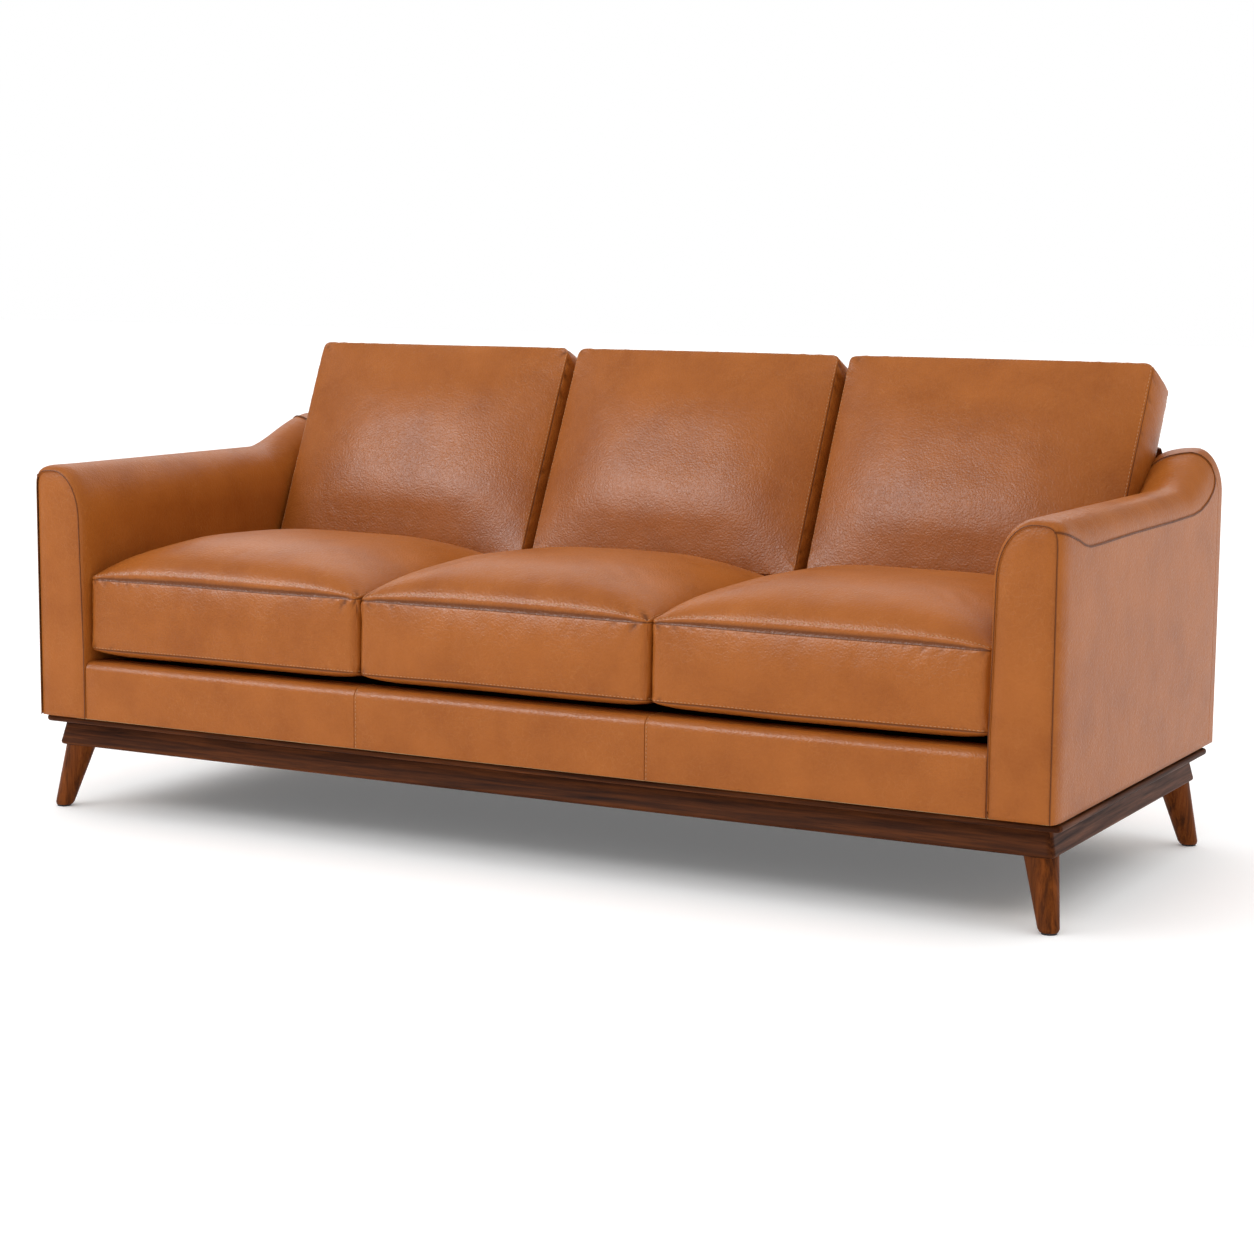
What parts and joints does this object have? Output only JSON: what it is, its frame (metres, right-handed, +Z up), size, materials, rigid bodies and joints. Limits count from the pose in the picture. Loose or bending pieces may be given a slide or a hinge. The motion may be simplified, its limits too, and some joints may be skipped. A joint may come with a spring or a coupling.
{
  "type": "three-seat sofa",
  "caption": "Leather three-seat sofa with loose box cushions, rolled arms that sweep up to the back, and a walnut plinth on splayed tapered legs.",
  "frame": {"origin": "bottom centre of the sofa's bounding box, on the floor", "axes": "+X along the sofa to the sitter's left, -Y out of the sofa's front, +Z up"},
  "size_m": [2.066, 0.9162, 0.8936],
  "materials": {
    "cognac_leather": "semi-aniline upholstery leather, fine pebble grain, semi-gloss",
    "piping_leather": "thin leather over cord",
    "walnut": "stained walnut, satin lacquer",
    "frame_wood": "planed kiln-dried hardwood, unfinished",
    "frame_board": "plywood",
    "foam": "polyurethane foam",
    "cushion_filling": "foam with a fibre wrap in a ticking",
    "black_cloth": "non-woven polypropylene",
    "webbing": "woven elastic webbing",
    "spring_steel": "drawn wire, oiled",
    "zinc_steel": "zinc plated",
    "glide_plastic": "moulded nylon",
    "zip_tape": "woven zip tape with nylon coil"
  },
  "bodies": {
    "sofa_frame": {"lip_front": "walnut", "plinth_front": "walnut", "lip_back": "walnut", "plinth_back": "walnut", "lip_left": "walnut", "plinth_left": "walnut", "lip_right": "walnut", "plinth_right": "walnut", "leg_front_left": "walnut", "leg_front_right": "walnut", "leg_back_left": "walnut", "leg_back_right": "walnut", "leg_glides": "glide_plastic", "leg_bolts": "zinc_steel", "corner_blocks": "frame_wood", "arm_top_cover_left": "cognac_leather", "arm_outer_cover_left": "cognac_leather", "arm_front_cover_left": "cognac_leather", "arm_foam_left": "foam", "arm_top_cover_right": "cognac_leather", "arm_outer_cover_right": "cognac_leather", "arm_front_cover_right": "cognac_leather", "arm_foam_right": "foam", "arm_piping": "piping_leather", "front_rail_cover": "cognac_leather", "front_rail_foam": "foam", "front_rail": "frame_wood", "inside_back_cover": "cognac_leather", "outer_back_cover": "cognac_leather", "back_foam": "foam", "back_webbing": "webbing", "back_rail": "frame_wood", "side_rails": "frame_wood", "seat_stretchers": "frame_wood", "frame_posts": "frame_wood", "back_top_rail": "frame_wood", "arm_top_rails": "frame_wood", "arm_boards": "frame_board", "dust_cover": "black_cloth", "seat_springs": "spring_steel", "spring_clips": "zinc_steel", "deck_cloth": "black_cloth"},
    "seat_cushion_left": {"seat_cushion_cover_left": "cognac_leather", "seat_cushion_core_left": "cushion_filling", "seat_cushion_zip_left": "zip_tape"},
    "seat_cushion_middle": {"seat_cushion_cover_middle": "cognac_leather", "seat_cushion_core_middle": "cushion_filling", "seat_cushion_zip_middle": "zip_tape"},
    "seat_cushion_right": {"seat_cushion_cover_right": "cognac_leather", "seat_cushion_core_right": "cushion_filling", "seat_cushion_zip_right": "zip_tape"},
    "back_cushion_left": {"back_cushion_cover_left": "cognac_leather", "back_cushion_core_left": "cushion_filling", "back_cushion_zip_left": "zip_tape"},
    "back_cushion_middle": {"back_cushion_cover_middle": "cognac_leather", "back_cushion_core_middle": "cushion_filling", "back_cushion_zip_middle": "zip_tape"},
    "back_cushion_right": {"back_cushion_cover_right": "cognac_leather", "back_cushion_core_right": "cushion_filling", "back_cushion_zip_right": "zip_tape"}
  },
  "joints": [
    {"name": "seat_left_lift", "type": "slide", "parent": "sofa_frame", "child": "seat_cushion_left", "axis": [0, -0.9997, 0.0262], "range_m": [0, 0.7]},
    {"name": "seat_middle_lift", "type": "slide", "parent": "sofa_frame", "child": "seat_cushion_middle", "axis": [0, -0.9997, 0.0262], "range_m": [0, 0.7]},
    {"name": "seat_right_lift", "type": "slide", "parent": "sofa_frame", "child": "seat_cushion_right", "axis": [0, -0.9997, 0.0262], "range_m": [0, 0.7]},
    {"name": "back_left_lift", "type": "slide", "parent": "sofa_frame", "child": "back_cushion_left", "axis": [0, 0, 1], "range_m": [0, 0.46]},
    {"name": "back_middle_lift", "type": "slide", "parent": "sofa_frame", "child": "back_cushion_middle", "axis": [0, 0, 1], "range_m": [0, 0.46]},
    {"name": "back_right_lift", "type": "slide", "parent": "sofa_frame", "child": "back_cushion_right", "axis": [0, 0, 1], "range_m": [0, 0.46]}
  ]
}
